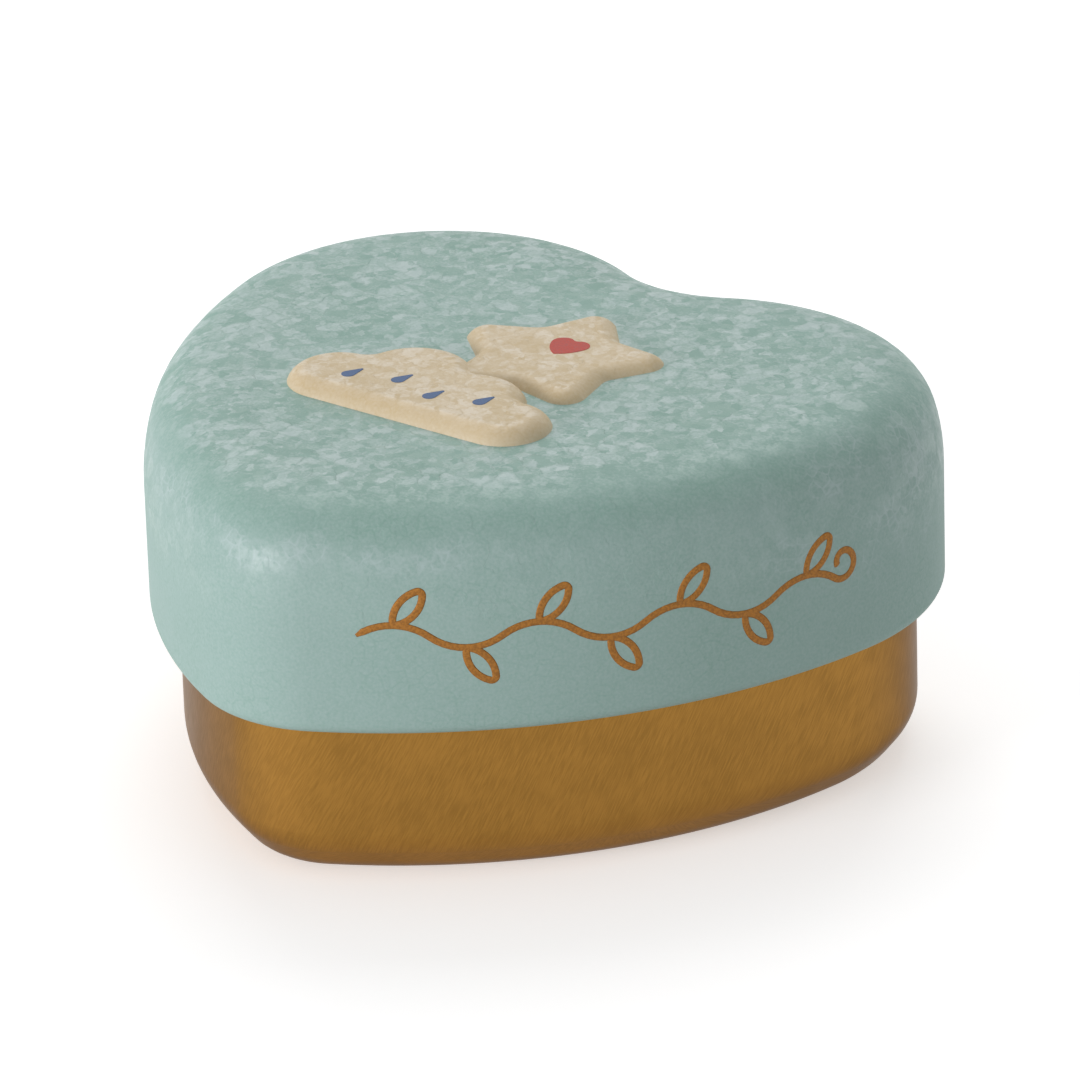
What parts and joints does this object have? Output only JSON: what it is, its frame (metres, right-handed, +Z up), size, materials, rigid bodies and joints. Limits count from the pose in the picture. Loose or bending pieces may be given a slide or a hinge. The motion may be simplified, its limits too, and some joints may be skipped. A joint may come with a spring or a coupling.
{
  "type": "milk tooth tin",
  "caption": "Small heart-shaped keepsake tin whose deep cap slides down over a plain drawn cup, with a raised picture in its top",
  "frame": {"origin": "middle of the footprint's box, at the level that the tin stands on", "axes": "+Z up, +Y from the heart's point towards its notch, +X to the right seen from the point"},
  "size_m": [0.06, 0.0559, 0.0306],
  "materials": {
    "lid_enamel": "satin",
    "base_lacquer": "satin"
  },
  "bodies": {
    "base": {"base_shell": "base_lacquer"},
    "lid": {"lid_shell": "lid_enamel"}
  },
  "joints": [
    {"name": "lid_lift", "type": "slide", "parent": "base", "child": "lid", "axis": [0, 0, 1], "range_m": [0, 0.04]}
  ]
}
